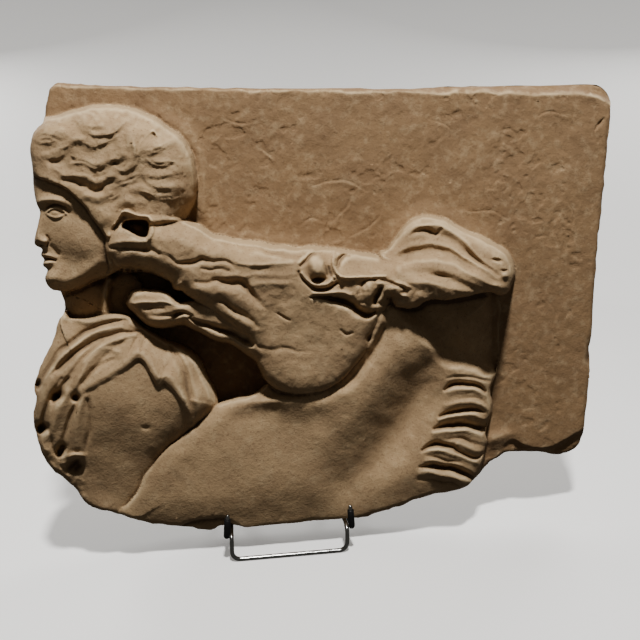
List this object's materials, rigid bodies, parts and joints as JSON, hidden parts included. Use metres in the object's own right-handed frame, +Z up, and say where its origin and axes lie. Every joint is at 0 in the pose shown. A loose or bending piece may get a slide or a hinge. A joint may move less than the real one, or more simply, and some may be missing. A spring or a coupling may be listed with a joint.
{
  "type": "resin relief panel",
  "caption": "Broken cast relief slab with a youth's head, cloaked shoulder and a horse's head and neck, leaning back on a low bent-wire stand.",
  "frame": {"origin": "middle of the front foot bar's flat underside, on the surface that the stand rests on", "axes": "+X along the panel's width to the viewer's right, +Y from the carved front to the back, +Z up; the panel leans back by 4 degrees"},
  "size_m": [0.5452, 0.138, 0.4386],
  "materials": {
    "cast_resin": "matt sandy beige with brown mottling, fine pits and pale rubbed edges",
    "steel_wire": "polished bright drawn steel",
    "black_sleeve": "black soft plastic tube, satin"
  },
  "bodies": {
    "root": {"relief_panel": "cast_resin", "foot_loop": "steel_wire", "back_rest": "steel_wire", "hook_left": "steel_wire", "hook_right": "steel_wire", "sleeve_left": "black_sleeve", "sleeve_right": "black_sleeve"}
  },
  "joints": []
}
